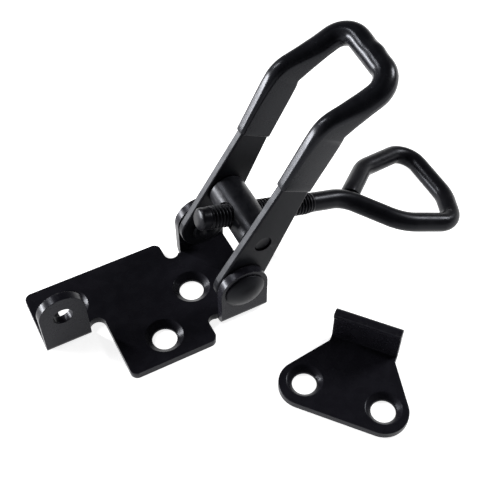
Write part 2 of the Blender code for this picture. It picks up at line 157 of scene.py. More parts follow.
class LatchFinish(bpy.types.PropertyGroup):
    """Colours and gloss of the finishes."""

    plate: colour("Plate black", "Coating of base plate and keeper", (0.0072, 0.0070, 0.0096, 1))
    lever: colour("Lever black", "Coating of arms, rivets and nut", (0.0050, 0.0052, 0.0066, 1))
    hook: colour("Hook black", "Coating of the hook", (0.0050, 0.0050, 0.0064, 1))
    vinyl: colour("Vinyl black", "Colour of the sleeve", (0.0050, 0.0052, 0.0066, 1))
    # The worn steel colour stands for bare steel on rubbed edges and also for a painted highlight along the
    # edges.
    steel: colour("Worn steel", "Steel that shows on rubbed edges", (0.075, 0.075, 0.08, 1))
    plate_gloss: share("Plate roughness", "Of the coating", 0.26)
    lever_gloss: share("Lever roughness", "Of the coating", 0.38)
    hook_gloss: share("Hook roughness", "Of the coating", 0.3)
    vinyl_gloss: share("Vinyl roughness", "Of the sleeve", 0.24)


class LatchStage(bpy.types.PropertyGroup):
    """Floor, camera and light."""

    floor: colour("Floor", "Plain pale floor", (0.86, 0.86, 0.86, 1))
    lens: FloatProperty(name="Lens", description="Focal length in mm", default=69.5, min=10)
    distance: length("Camera distance", "From the aim point", 0.2165)
    azimuth: FloatProperty(
        name="Azimuth", description="Round from the front", default=math.radians(-26.94), subtype="ANGLE"
    )
    elevation: FloatProperty(
        name="Elevation", description="Above the floor", default=math.radians(51.62), subtype="ANGLE"
    )
    roll: FloatProperty(
        name="Roll", description="Turn about the line of sight", default=math.radians(0.35), subtype="ANGLE"
    )
    aim: FloatVectorProperty(
        name="Aim",
        description="Point at the middle of the view",
        default=(0.0088, 0.0077, 0.0),
        unit="LENGTH",
    )


# ---------------------------------------------------------------- outlines

def arc(cx, cy, radius, start, end, steps):
    """Points of an arc, angles in degrees."""
    span = [math.radians(start + (end - start) * i / steps) for i in range(steps + 1)]
    return [(cx + radius * math.cos(a), cy + radius * math.sin(a)) for a in span]


def rounded(points, radii, steps):
    """Open flat path with each inner corner turned by an arc of its radius."""
    path = [Vector(points[0])]
    for before, corner, after, radius in zip(points, points[1:], points[2:], radii):
        corner = Vector(corner)
        into = (corner - Vector(before)).normalized()
        out = (Vector(after) - corner).normalized()
        turn = into.angle(out)
        start = corner - into * radius * math.tan(turn / 2)
        inward = (out - into * into.dot(out)).normalized()
        centre = start + inward * radius
        for i in range(steps + 1):
            angle = turn * i / steps
            swing = into * math.sin(angle) - inward * math.cos(angle)
            path.append(centre + swing * radius)
    path.append(Vector(points[-1]))
    return path


def resampled(path, step):
    """The same flat path with points no further apart than the step."""
    dense = [path[0]]
    for before, after in zip(path, path[1:]):
        pieces = max(1, math.ceil((after - before).length / step))
        dense += [before.lerp(after, (i + 1) / pieces) for i in range(pieces)]
    return dense


def channel(foot, outer, top, bend, sheet):
    """Section of sheet bent up from flat: across from foot to outer, then up to the top."""
    hub = outer - bend
    section = [(foot, 0.0)]
    section += arc(hub, bend, bend, -90, 0, 14)
    section += [(outer, top), (outer - sheet, top)]
    section += arc(hub, bend, bend - sheet, 0, -90, 6)
    section.append((foot, sheet))
    return section


# ---------------------------------------------------------------- meshes

def frame_matrix(x_axis, y_axis, z_axis, origin=(0.0, 0.0, 0.0)):
    """Matrix that lays local axes on the given ones."""
    rows = [[x_axis[i], y_axis[i], z_axis[i], origin[i]] for i in range(3)]
    return Matrix(rows + [[0.0, 0.0, 0.0, 1.0]])


LEVER_FRAME = frame_matrix(ARM_AXIS, SIDE, ARM_AXIS.cross(SIDE), PIVOT)
HOOK_FRAME = frame_matrix(HOOK_AXIS, SIDE, HOOK_AXIS.cross(SIDE), NUT)
ACROSS_Y = frame_matrix((1, 0, 0), (0, 0, 1), (0, -1, 0))


def along_y(side, y=0.0, x=0.0, z=0.0):
    """Matrix for a turned shape whose axis points out along Y."""
    return frame_matrix((1, 0, 0), (0, 0, -side), (0, side, 0), (x, y, z))


def add_object(name, shell, matrix):
    """Mesh object from an edited mesh, with its faces turned outward."""
    bmesh.ops.recalc_face_normals(shell, faces=shell.faces)
    mesh = bpy.data.meshes.new(name)
    shell.to_mesh(mesh)
    shell.free()
    mesh.transform(matrix)
    obj = bpy.data.objects.new(name, mesh)
    bpy.context.scene.collection.objects.link(obj)
    return obj


def slab(name, outline, low, high, matrix=Matrix()):
    """Flat outline raised from low to high along local Z."""
    shell = bmesh.new()
    base = shell.faces.new([shell.verts.new((x, y, low)) for x, y in outline])
    raised = bmesh.ops.extrude_face_region(shell, geom=[base])["geom"]
    corners = [item for item in raised if isinstance(item, bmesh.types.BMVert)]
    bmesh.ops.translate(shell, verts=corners, vec=(0, 0, high - low))
    return add_object(name, shell, matrix)


def turned(name, profile, matrix, steps=72):
    """Solid of revolution about local Z from (radius, height) points that end on the axis."""
    shell = bmesh.new()
    verts = [shell.verts.new((radius, 0, height)) for radius, height in profile]
    edges = [shell.edges.new(pair) for pair in zip(verts, verts[1:])]
    bmesh.ops.spin(
        shell,
        geom=verts + edges,
        axis=(0, 0, 1),
        cent=(0, 0, 0),
        angle=math.tau,
        steps=steps,
        use_merge=True,
    )
    bmesh.ops.remove_doubles(shell, verts=shell.verts, dist=1e-7)
    return add_object(name, shell, matrix)


def skin(name, rings, matrix, bore=()):
    """Body through rings of equal length; a bore's rings make it a sleeve."""
    shell = bmesh.new()
    layers = [[[shell.verts.new(point) for point in ring] for ring in rows] for rows in (rings, bore)]
    for rows in layers:
        for row, following in zip(rows, rows[1:]):
            bridge(shell, row, following)
    if bore:
        bridge(shell, layers[0][0], layers[1][0])
        bridge(shell, layers[0][-1], layers[1][-1])
    else:
        shell.faces.new(layers[0][0])
        shell.faces.new(layers[0][-1])
    return add_object(name, shell, matrix)


def bridge(shell, row, following):
    for i in range(len(row)):
        j = (i + 1) % len(row)
        shell.faces.new((row[i], row[j], following[j], following[i]))


def section_ring(centre, normal, across, wide, thick, corner, per_corner=8):
    """Rounded rectangle round a centre: a circle where both halves equal the corner."""
    ring = []
    for quarter, (sx, sy) in enumerate(((1, 1), (-1, 1), (-1, -1), (1, -1))):
        for i in range(per_corner + 1):
            angle = math.radians(90 * (quarter + i / per_corner))
            out = sx * (wide - corner) + corner * math.cos(angle)
            over = sy * (thick - corner) + corner * math.sin(angle)
            ring.append(centre + normal * out + across * over)
    return ring


def join(target, tool, operation):
    """Exact boolean that is applied at once; the tool is used up."""
    boolean = target.modifiers.new(operation, "BOOLEAN")
    boolean.operation = operation
    boolean.solver = "EXACT"
    boolean.object = tool
    settle(target)
    spent = tool.data
    bpy.data.objects.remove(tool)
    bpy.data.meshes.remove(spent)


def settle(obj):
    """Apply every modifier on the object."""
    depsgraph = bpy.context.evaluated_depsgraph_get()
    mesh = bpy.data.meshes.new_from_object(obj.evaluated_get(depsgraph))
    obj.modifiers.clear()
    old = obj.data
    obj.data = mesh
    mesh.name = obj.name
    bpy.data.meshes.remove(old)


def soften(obj, width, limit, segments=3):
    """Join flat faces, round the cut edges and keep the flats flat in shading."""
    shell = bmesh.new()
    shell.from_mesh(obj.data)
    bmesh.ops.remove_doubles(shell, verts=shell.verts, dist=2e-6)
    bmesh.ops.dissolve_limit(
        shell, angle_limit=math.radians(0.6), verts=shell.verts, edges=shell.edges
    )
    shell.to_mesh(obj.data)
    shell.free()
    bevel = obj.modifiers.new("Cut edges", "BEVEL")
    bevel.width = width
    bevel.segments = segments
    bevel.limit_method = "ANGLE"
    bevel.angle_limit = math.radians(limit)
    bevel.miter_outer = "MITER_ARC"
    bevel.use_clamp_overlap = True
    settle(obj)


def smooth(obj, sharp=38.0, weighted=True):
    """Smooth shading with flats that stay flat."""
    obj.data.shade_smooth()
    obj.data.set_sharp_from_angle(angle=math.radians(sharp))
    if weighted:
        weigh = obj.modifiers.new("Flat faces", "WEIGHTED_NORMAL")
        weigh.keep_sharp = True
        weigh.weight = 80
        settle(obj)


# ---------------------------------------------------------------- finishes

def new_material(name):
    material = bpy.data.materials.new(name)
    material.use_nodes = True
    return material, material.node_tree.nodes, material.node_tree.links


def noise(nodes, links, place, scale, detail, name):
    node = nodes.new("ShaderNodeTexNoise")
    node.label = name
    node.inputs["Scale"].default_value = scale
    node.inputs["Detail"].default_value = detail
    links.new(place.outputs["Object"], node.inputs["Vector"])
    return node


def spread(nodes, links, source, low, high, floor=0.3, ceiling=0.7):
    """Map a noise's usual span onto low to high."""
    node = nodes.new("ShaderNodeMapRange")
    node.inputs["From Min"].default_value = floor
    node.inputs["From Max"].default_value = ceiling
    node.inputs["To Min"].default_value = low
    node.inputs["To Max"].default_value = high
    links.new(source, node.inputs["Value"])
    return node.outputs["Result"]


def blend_colour(nodes, links, factor, first, second):
    node = nodes.new("ShaderNodeMix")
    node.data_type = "RGBA"
    links.new(factor, node.inputs["Factor"])
    for value, socket in ((first, node.inputs[6]), (second, node.inputs[7])):
        if hasattr(value, "default_value"):
            links.new(value, socket)
        else:
            socket.default_value = value
    return node.outputs[2]


def bump(nodes, links, height, strength, distance, normal=None):
    node = nodes.new("ShaderNodeBump")
    node.inputs["Strength"].default_value = strength
    node.inputs["Distance"].default_value = distance
    links.new(height, node.inputs["Height"])
    if normal:
        links.new(normal, node.inputs["Normal"])
    return node.outputs["Normal"]


def coated_steel(name, base, worn_and_highlight_colour, roughness, wear_and_highlight):
    """Thin black coating on steel: cloudy gloss, orange peel, dust specks, and edges lightened by rubbed
    wear and a painted edge highlight.
    """
    material, nodes, links = new_material(name)
    shader = nodes["Principled BSDF"]
    place = nodes.new("ShaderNodeTexCoord")
    cloud = noise(nodes, links, place, 420.0, 4.0, "cloudy coating")
    peel = noise(nodes, links, place, 2600.0, 1.0, "orange peel")
    grain = noise(nodes, links, place, 1100.0, 4.0, "fine grain")
    lifted = tuple(min(1.0, level * 1.2 + 0.0003) for level in base[:3]) + (1,)
    tone = blend_colour(nodes, links, spread(nodes, links, cloud.outputs["Fac"], 0, 1), base, lifted)

    # Pointiness lightens sharp edges towards the worn steel colour: partly rubbed wear, partly a painted
    # edge highlight.
    edges = nodes.new("ShaderNodeNewGeometry")
    rub_and_highlight_mask = nodes.new("ShaderNodeMapRange")
    rub_and_highlight_mask.inputs["From Min"].default_value = 0.53
    rub_and_highlight_mask.inputs["From Max"].default_value = 0.64
    rub_and_highlight_mask.inputs["To Max"].default_value = wear_and_highlight
    links.new(edges.outputs["Pointiness"], rub_and_highlight_mask.inputs["Value"])
    wear_and_highlight_patch = nodes.new("ShaderNodeMath")
    wear_and_highlight_patch.operation = "MULTIPLY"
    links.new(rub_and_highlight_mask.outputs["Result"], wear_and_highlight_patch.inputs[0])
    links.new(spread(nodes, links, grain.outputs["Fac"], 0, 1, 0.4, 0.6), wear_and_highlight_patch.inputs[1])
    links.new(blend_colour(nodes, links, wear_and_highlight_patch.outputs[0], tone, worn_and_highlight_colour), shader.inputs["Base Color"])

    gloss = spread(nodes, links, cloud.outputs["Fac"], roughness - 0.04, roughness + 0.06)
    links.new(gloss, shader.inputs["Roughness"])
    shader.inputs["Metallic"].default_value = 0.0
    shader.inputs["Specular IOR Level"].default_value = 0.11
    shader.inputs["Specular Tint"].default_value = (0.86, 0.89, 1.0, 1)
    rough_skin = bump(nodes, links, peel.outputs["Fac"], 0.08, 0.000012)
    links.new(bump(nodes, links, grain.outputs["Fac"], 0.05, 0.000012, rough_skin), shader.inputs["Normal"])
    return material


def dipped_vinyl(name, base, roughness):
    """Soft black vinyl: slow waves of the dip, fine pores and handling haze."""
    material, nodes, links = new_material(name)
    shader = nodes["Principled BSDF"]
    place = nodes.new("ShaderNodeTexCoord")
    wave = noise(nodes, links, place, 190.0, 1.0, "dip waves")
    pores = noise(nodes, links, place, 4200.0, 2.0, "pores")
    haze = noise(nodes, links, place, 520.0, 4.0, "handling haze")
    dusty = tuple(level * 1.3 + 0.0008 for level in base[:3]) + (1,)
    veil = spread(nodes, links, haze.outputs["Fac"], 0, 1)
    links.new(blend_colour(nodes, links, veil, base, dusty), shader.inputs["Base Color"])
    links.new(
        spread(nodes, links, haze.outputs["Fac"], roughness - 0.03, roughness + 0.05),
        shader.inputs["Roughness"],
    )
    shader.inputs["Specular IOR Level"].default_value = 0.15
    shader.inputs["Specular Tint"].default_value = (0.86, 0.89, 1.0, 1)
    slow = bump(nodes, links, wave.outputs["Fac"], 0.08, 0.00012)
    links.new(bump(nodes, links, pores.outputs["Fac"], 0.03, 0.00001, slow), shader.inputs["Normal"])
    return material


def finished(obj, material, body, node):
    """Give a piece its finish and its place on the frame."""
    obj.data.materials.clear()
    obj.data.materials.append(material)
    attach(obj, body)
    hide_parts(node)


# The last argument sets how far sharp edges are lightened, by rubbed wear and a painted edge highlight.
def steel_finish(name, base, roughness, wear_and_highlight):
    finish = bpy.context.scene.latch_finish
    return coated_steel(name, tuple(base), tuple(finish.steel), roughness, wear_and_highlight)


# ---------------------------------------------------------------- shapes

def countersink(place, radius, sink, depth, top):
    """Cutter for a countersunk hole through a sheet with the given top."""
    clear = 0.0005
    flare = sink + clear * (sink - radius) / depth
    profile = [(0.0, top + clear), (flare, top + clear), (radius, top - depth)]
    profile += [(radius, -clear), (0.0, -clear)]
    return turned("countersink", profile, Matrix.Translation((place[0], place[1], 0.0)))


def drill(radius, length_m, matrix):
    half = length_m / 2
    profile = [(0.0, half), (radius, half), (radius, -half), (0.0, -half)]
    return turned("drill", profile, matrix)


def bent_part(section, outline, half_width, side, matrix):
    """Sheet bent up along X, with its free end cut to an outline seen along Y."""
    across = frame_matrix((0, side, 0), (0, 0, 1), (side, 0, 0))
    sheet = slab("bent_sheet", section, -half_width, half_width, matrix @ across)
    reach = 0.03
    low = -reach if side > 0 else 0.0
    blank = slab("blank", outline, low, low + reach, matrix @ ACROSS_Y)
    join(sheet, blank, "INTERSECT")
    return sheet


def lever_rows(sizes):
    """Centre, width direction, half width, half thickness and corner, pivot to mid crossbar.

    Lever frame: X along the arms from the pivot, Y across, Z the arms' width direction.
    """
    flat = sizes.arm / 2
    arm_y = EAR_INNER - 0.00025 - flat
    slim = 0.00042
    rows = []
    for step in range(1, 12):
        angle = math.radians(8 * step)
        along = -sizes.root * math.cos(angle)
        rows.append((Vector((along, arm_y, 0)), UP, sizes.root * math.sin(angle), flat, slim))
    for step in range(14):
        along = sizes.sleeve_at * step / 14
        half = sizes.root + (sizes.tip - sizes.root) * along / sizes.sleeve_at
        rows.append((Vector((along, arm_y, 0)), UP, half, flat, slim))
    turn = sizes.knee_angle
    reach = sizes.knee_radius * math.tan(turn / 2)
    start = sizes.knee_at - reach
    path = []
    for step in range(11):
        along = sizes.sleeve_at + (start - sizes.sleeve_at) * step / 10
        drift = (along - sizes.sleeve_at) / (sizes.knee_at - sizes.sleeve_at)
        path.append((Vector((along, arm_y + (sizes.loop_half - arm_y) * drift, 0)), UP))
    hub = Vector((start, sizes.loop_half, -sizes.knee_radius))
    for step in range(1, 13):
        bend = turn * step / 12
        out = Vector((math.sin(bend), 0, math.cos(bend)))
        path.append((hub + out * sizes.knee_radius, out))
    normal = Vector((math.sin(turn), 0, math.cos(turn)))
    forward = Vector((math.cos(turn), 0, -math.sin(turn)))
    corner = Vector((sizes.knee_at, 0, 0)) + forward * (sizes.reach - sizes.loop_radius)
    knee_exit = path[-1][0]
    straight = corner + SIDE * sizes.loop_half - knee_exit
    path += [(knee_exit + straight * step / 8, normal) for step in range(1, 8)]
    for step in range(17):
        swing = math.radians(90 * step / 16)
        side = sizes.loop_half - sizes.loop_radius * (1 - math.cos(swing))
        path.append((corner + forward * sizes.loop_radius * math.sin(swing) + SIDE * side, normal))
    last = sizes.loop_half - sizes.loop_radius
    crossbar = corner + forward * sizes.loop_radius
    path += [(crossbar + SIDE * last * (1 - step / 8), normal) for step in range(1, 9)]
    travelled = sizes.sleeve_at
    before = path[0][0]
    past = 0.009
    for centre, out in path:
        travelled += (centre - before).length
        before = centre
        narrowed = eased((travelled - sizes.knee_at + 0.003) / (past + 0.003))
        swollen = eased((travelled - sizes.sleeve_at - 0.002) / (sizes.knee_at + past - sizes.sleeve_at))
        half = sizes.tip + (sizes.wire - sizes.tip) * narrowed
        thick = flat + (sizes.wire - flat) * max(narrowed, 0.8 * swollen)
        round_off = slim + (thick - slim) * max(narrowed, 0.9 * min(1.0, 1.6 * swollen))
        rows.append((centre, out, half, thick, round_off))
    return rows


def eased(value):
    """Smooth step from 0 to 1."""
    value = min(max(value, 0.0), 1.0)
    return value * value * (3 - 2 * value)


def both_sides(rows, sizes):
    """The far half's rows and their mirror image back to the near pivot, with the loop's skew."""
    flip = Vector((1, -1, 1))
    rows = rows + [(row[0] * flip,) + row[1:] for row in reversed(rows[:-1])]
    turn = sizes.knee_angle
    forward = Vector((math.cos(turn), 0, -math.sin(turn)))
    knee = Vector((sizes.knee_at, 0, 0))
    skewed = []
    for row in rows:
        gone = (row[0] - knee).dot(forward) / (sizes.reach - sizes.loop_radius)
        lead = sizes.skew * min(max(gone, 0.0), 1.0) * row[0].y / sizes.loop_half
        skewed.append((row[0] + forward * lead,) + row[1:])
    return skewed


def lever_rings(rows, growth):
    """Rings round the rows, grown by growth(index, ring angle share)."""
    rings = []
    for i, (centre, normal, wide, thick, corner) in enumerate(rows):
        ahead = rows[min(i + 1, len(rows) - 1)][0]
        behind = rows[max(i - 1, 0)][0]
        across = normal.cross((ahead - behind).normalized()).normalized()
        more = growth(i)
        round_corner = min(corner, wide, thick) + more
        rings.append(section_ring(centre, normal, across, wide + more, thick + more, round_corner))
    return rings


class LATCH_OT_base_plate(bpy.types.Operator):
    """Base plate: one stamping with its padlock tab, bend reliefs and pivot ears"""

    bl_idname = "latch.base_plate"
    bl_label = "Base Plate"

    def execute(self, context):
        sizes = context.scene.latch_sheet
        sheet, bend, corner = sizes.thickness, sizes.bend, sizes.corner
        left, ear = PLATE_LOW.x, PLATE_HIGH.x
        near, far = -PLATE_LOW.y, PLATE_HIGH.y
        ear_outer = EAR_INNER + sheet
        ear_bend = ear_outer - bend
        step, near_front, far_front = -0.028, -0.0082, -0.0092
        tab_face, tab_right, tab_notch = -0.00125, -0.0315, 0.0016
        tab_bend = tab_face + bend
        notch = sizes.tab_notch
        enter = 180 - math.degrees(math.asin((tab_bend - tab_notch + notch) / notch))
        outline = [(left, tab_bend)]
        outline += arc(step - notch, tab_notch - notch, notch, enter, 0, 20)
        outline += arc(step + corner, corner - near, corner, 180, 270, 10)
        outline += arc(near_front - corner, corner - near, corner, 270, 360, 10)
        notch = sizes.near_notch
        middle = 0.00935 + notch
        leave = math.degrees(math.asin((middle - ear_bend) / notch))
        outline += arc(near_front + notch, -middle, notch, 180, leave, 20)
        outline += [(ear, -ear_bend), (ear, ear_bend)]
        notch = sizes.far_notch
        middle = 0.00875 + notch
        leave = math.degrees(math.asin((middle - ear_bend) / notch))
        outline += arc(far_front + notch, middle, notch, -leave, -180, 20)
        outline += arc(far_front - corner, far - corner, corner, 0, 90, 10)
        outline += arc(left + corner, far - corner, corner, 90, 180, 10)
        plate = slab("base_stamping", outline, 0.0, sheet)

        overlap = 0.002
        ear_top = 0.0154
        ear_outline = [(-ear, -0.001), (ear, -0.001)] + arc(0.0, ear_top - ear, ear, 0, 180, 40)
        ear_section = channel(ear_bend - overlap, ear_outer, ear_top + overlap, bend, sheet)
        for side in (1, -1):
            join(plate, bent_part(ear_section, ear_outline, ear + overlap, side, Matrix()), "UNION")

        middle, tab_half = (left + tab_right) / 2, (tab_right - left) / 2
        tab_top = PLATE_HIGH.z
        tab_outline = [(-tab_half, -0.001), (tab_half, -0.001)]
        tab_outline += arc(0.0, tab_top - tab_half, tab_half, 0, 180, 40)
        tab_section = channel(-tab_bend - overlap, -tab_face, tab_top + overlap, bend, sheet)
        shift = 0.005
        tab_section = [(reach + shift, height) for reach, height in tab_section]
        over = Matrix.Translation((middle, shift, 0.0))
        join(plate, bent_part(tab_section, tab_outline, tab_half + overlap, -1, over), "UNION")

        for place in ((-0.0075, -0.00035), (-0.0181, -0.0093), (-0.03345, 0.0072)):
            join(plate, countersink(place, sizes.hole, sizes.sink, sizes.sink_depth, sheet), "DIFFERENCE")
        join(plate, drill(sizes.padlock, 0.008, along_y(1, 0.0, middle, 0.0111)), "DIFFERENCE")
        join(plate, drill(0.00205, 0.04, along_y(1, 0.0, 0.0, PIVOT.z)), "DIFFERENCE")
        soften(plate, sizes.edge, 34.0)
        smooth(plate)
        finish = context.scene.latch_finish
        material = steel_finish("plate_coating", finish.plate, finish.plate_gloss, 0.45)
        finished(plate, material, "base", "base_plate")
        return {"FINISHED"}


class LATCH_OT_rivets(bpy.types.Operator):
    """Pivot rivets: low domed heads outside the ears, upset tails inside the arms"""

    bl_idname = "latch.rivets"
    bl_label = "Pivot Rivets"

    def execute(self, context):
        finish = context.scene.latch_finish
        material = steel_finish("rivet_coating", finish.lever, finish.lever_gloss, 0.5)
        head_r = (RIVET_HIGH.x - RIVET_LOW.x) / 2
        ear_face = EAR_INNER + context.scene.latch_sheet.thickness
        head_h = RIVET_HIGH.y - ear_face
        tail = ear_face - RIVET_LOW.y
        shank, tail_r, tail_h = 0.002, 0.0031, 0.0009
        rim = 0.00035
        dome_h = head_h - rim
        dome_r = (head_r ** 2 + dome_h ** 2) / (2 * dome_h)
        sweep = math.degrees(math.asin((head_r - 0.0002) / dome_r))
        dome = arc(0.0, head_h - dome_r, dome_r, 90, 90 - sweep, 24)
        profile = [(0.0, head_h)] + dome[1:]
        profile += arc(head_r - 0.0002, rim - 0.00012, 0.0002, 60, -60, 6)
        profile += [(head_r - 0.0004, 0.00003), (shank, 0.00003), (shank, tail_h - tail)]
        profile += arc(tail_r - 0.0003, tail_h - tail - 0.0003, 0.0003, 90, 0, 5)
        profile += arc(tail_r - 0.0005, -tail + 0.0005, 0.0005, 0, -75, 6)
        profile += [(0.0009, -tail + 0.00002), (0.0006, -tail + 0.0002), (0.0, -tail + 0.00026)]
        for side, label in ((-1, "near"), (1, "far")):
            spot = along_y(side, side * ear_face, PIVOT.x, PIVOT.z)
            rivet = turned("rivet_" + label, profile, spot, 96)
            smooth(rivet, 50.0, False)
            finished(rivet, material, "base", "pivot_rivet_" + label)
        return {"FINISHED"}


class LATCH_OT_lever_bar(bpy.types.Operator):
    """Lever: one wire, forged flat into two arms and round in the finger loop"""

    bl_idname = "latch.lever_bar"
    bl_label = "Lever Wire"

    def execute(self, context):
        sizes = context.scene.latch_lever
        rows = both_sides(lever_rows(sizes), sizes)
        bar = skin("lever_wire", lever_rings(rows, lambda i: 0.0), LEVER_FRAME)
        pin = LEVER_FRAME @ along_y(1, 0.0, (NUT - PIVOT).length)
        join(bar, drill(sizes.trunnion + 0.00008, 0.04, pin), "DIFFERENCE")
        join(bar, drill(0.00205, 0.04, LEVER_FRAME @ along_y(1)), "DIFFERENCE")
        bevel = bar.modifiers.new("Hole edges", "BEVEL")
        bevel.width = 0.00018
        bevel.segments = 3
        bevel.limit_method = "ANGLE"
        bevel.angle_limit = math.radians(60)
        settle(bar)
        smooth(bar, 45.0)
        finish = context.scene.latch_finish
        material = steel_finish("lever_coating", finish.lever, finish.lever_gloss, 0.35)
        finished(bar, material, "lever", "lever_bar")
        return {"FINISHED"}


class LATCH_OT_grip(bpy.types.Operator):
    """Grip: dipped vinyl sleeve over the loop and the upper arms"""

    bl_idname = "latch.grip"
    bl_label = "Grip Sleeve"

    def execute(self, context):
        sizes = context.scene.latch_lever
        rows = [row for row in lever_rows(sizes) if row[0].x >= sizes.sleeve_at - 1e-6]
        rows = both_sides(rows, sizes)
        start = rows[0]
        step = rows[1][0] - start[0]
        edge = []
        for part in (0.0, 0.00006, 0.00015, 0.0003):
            edge.append((start[0] + step * (part / step.length),) + start[1:])
        flip = Vector((1, -1, 1))
        mirrored = [(row[0] * flip,) + row[1:] for row in reversed(edge)]
        rows = edge + rows[1:-1] + mirrored
        last = len(rows) - 1
        lip_growth = (0.35, 0.7, 0.92, 1.0)
        slim, full = sizes.tip, sizes.wire

        def growth(i):
            """Rounded lips at the ends, thin over the arms and full over the round wire."""
            near_end = min(i, last - i)
            if near_end < 4:
                return sizes.lip * lip_growth[near_end]
            rise = (slim - rows[i][2]) / (slim - full)
            return sizes.lip + (sizes.sleeve - sizes.lip) * rise

        outer = lever_rings(rows, growth)
        centre_row = last // 2
        wave_height, wave_rows = 0.00022, 2.4
        for i, ring in enumerate(outer):
            centre, normal = rows[i][0], rows[i][1]
            bulge = wave_height * math.exp(-((i - centre_row - 1.5) / wave_rows) ** 2)
            dent = 0.4 * wave_height * math.exp(-((i - centre_row + 2.5) / wave_rows) ** 2)
            for k, point in enumerate(ring):
                out = (point - centre).normalized()
                facing = max(0.0, out.x)
                ring[k] = point + out * (bulge - dent) * facing
        bore = lever_rings(rows, lambda i: 0.00001)
        grip = skin("grip_sleeve", outer, LEVER_FRAME, bore)
        smooth(grip, 60.0, False)
        finish = context.scene.latch_finish
        material = dipped_vinyl("dipped_vinyl", tuple(finish.vinyl), finish.vinyl_gloss)
        finished(grip, material, "lever", "lever_grip")
        return {"FINISHED"}


class LATCH_OT_cross_nut(bpy.types.Operator):
    """Cross nut: round bar with a trunnion in each arm and a threaded cross hole"""

    bl_idname = "latch.cross_nut"
    bl_label = "Cross Nut"

    def execute(self, context):
        sizes = context.scene.latch_lever
        hook = context.scene.latch_hook
        body = EAR_INNER - 0.00025 - sizes.arm - 0.00012
        low, high = (Vector(corner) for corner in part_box("cross_nut"))
        end = (high.y - low.y) / 2
        pin, barrel, chamfer = sizes.trunnion, sizes.nut, 0.00035
        half = [(0.0, end - 0.00015), (pin - 0.0006, end - 0.00008), (pin - 0.0002, end)]
        half += [(pin, end - 0.0002), (pin, body), (barrel - chamfer, body)]
        half += [(barrel - 0.0001, body - chamfer + 0.0001), (barrel, body - chamfer - 0.0001)]
        profile = half + [(radius, -height) for radius, height in reversed(half)]
        nut = turned("cross_nut_bar", profile, HOOK_FRAME @ along_y(1), 96)
        bore = HOOK_FRAME @ frame_matrix((0, 1, 0), (0, 0, 1), (1, 0, 0))
        hole, mouth = hook.crest + 0.00004, 0.0017
        flare = [(0.0, 0.006), (hole + mouth, 0.006), (hole, barrel - 0.0009)]
        flare += [(hole, 0.0009 - barrel), (hole + mouth, -0.006), (0.0, -0.006)]
        join(nut, turned("bore", flare, bore), "DIFFERENCE")
        bevel = nut.modifiers.new("Hole edges", "BEVEL")
        bevel.width = 0.00025
        bevel.segments = 3
        bevel.limit_method = "ANGLE"
        bevel.angle_limit = math.radians(50)
        settle(nut)
        smooth(nut, 40.0)
        finish = context.scene.latch_finish
        material = steel_finish("nut_coating", finish.lever, finish.lever_gloss - 0.06, 0.5)
        finished(nut, material, "nut", "cross_nut")
        return {"FINISHED"}


